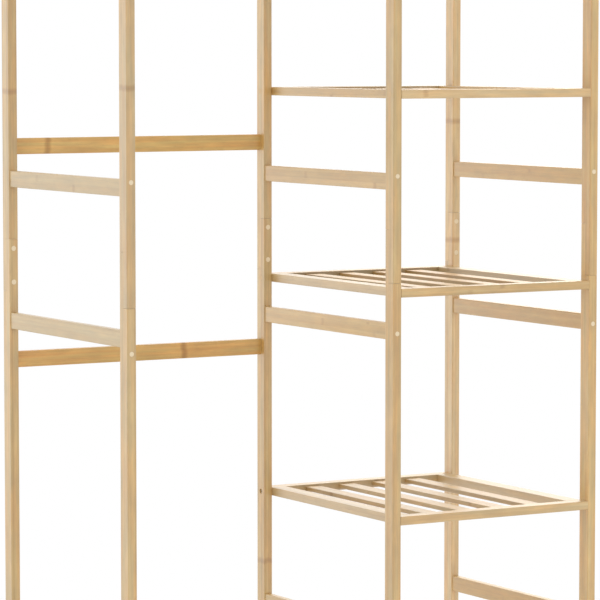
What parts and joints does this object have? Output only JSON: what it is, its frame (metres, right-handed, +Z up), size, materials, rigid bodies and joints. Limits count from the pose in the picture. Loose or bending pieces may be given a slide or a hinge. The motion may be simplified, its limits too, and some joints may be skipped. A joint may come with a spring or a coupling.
{
  "type": "open frame wardrobe",
  "caption": "Open bamboo wardrobe: ladder side frames with half-lapped posts carry a hanging bay with a rod beside a tower of slatted shelves.",
  "frame": {"origin": "on the floor, under the middle of the footprint", "axes": "+X to the right seen from the front, +Y to the back, +Z up"},
  "size_m": [0.795, 0.4, 1.7],
  "materials": {
    "bamboo": "satin clear lacquer",
    "caramel_bamboo": "satin clear lacquer",
    "pale_wood": "bare end grain",
    "bolt_steel": "dark zinc",
    "pad_plastic": "matte"
  },
  "bodies": {
    "root": {"back_rail_dowels": "pale_wood", "bay_bottom_shelf_long_rails": "bamboo", "bay_bottom_shelf_side_rails": "bamboo", "bay_bottom_shelf_slats": "bamboo", "bay_top_shelf_long_rails": "bamboo", "bay_top_shelf_side_rails": "bamboo", "bay_top_shelf_slats": "bamboo", "foot_pads": "pad_plastic", "hanging_rod": "bamboo", "lap_bolts": "bolt_steel", "lap_caps": "pale_wood", "left_back_lower_post": "bamboo", "left_back_upper_post": "bamboo", "left_foot_rung": "bamboo", "left_front_lower_post": "bamboo", "left_front_upper_post": "bamboo", "left_head_rung": "bamboo", "left_lower_rung": "bamboo", "left_upper_rung": "bamboo", "lower_back_rail": "caramel_bamboo", "middle_back_lower_post": "bamboo", "middle_back_upper_post": "bamboo", "middle_foot_rung": "bamboo", "middle_front_lower_post": "bamboo", "middle_front_upper_post": "bamboo", "middle_head_rung": "bamboo", "middle_lower_rung": "bamboo", "middle_upper_rung": "bamboo", "right_back_lower_post": "bamboo", "right_back_upper_post": "bamboo", "right_foot_rung": "bamboo", "right_front_lower_post": "bamboo", "right_front_upper_post": "bamboo", "right_head_rung": "bamboo", "right_lower_rung": "bamboo", "right_upper_rung": "bamboo", "rod_bolts": "bolt_steel", "rung_dowels": "pale_wood", "rung_pins": "pale_wood", "shelf_bolts": "bolt_steel", "shelf_caps": "pale_wood", "tower_shelf_1_long_rails": "bamboo", "tower_shelf_1_side_rails": "bamboo", "tower_shelf_1_slats": "bamboo", "tower_shelf_2_long_rails": "bamboo", "tower_shelf_2_side_rails": "bamboo", "tower_shelf_2_slats": "bamboo", "tower_shelf_3_long_rails": "bamboo", "tower_shelf_3_side_rails": "bamboo", "tower_shelf_3_slats": "bamboo", "tower_shelf_4_long_rails": "bamboo", "tower_shelf_4_side_rails": "bamboo", "tower_shelf_4_slats": "bamboo", "tower_shelf_5_long_rails": "bamboo", "tower_shelf_5_side_rails": "bamboo", "tower_shelf_5_slats": "bamboo", "tower_shelf_6_long_rails": "bamboo", "tower_shelf_6_side_rails": "bamboo", "tower_shelf_6_slats": "bamboo", "upper_back_rail": "caramel_bamboo"}
  },
  "joints": []
}
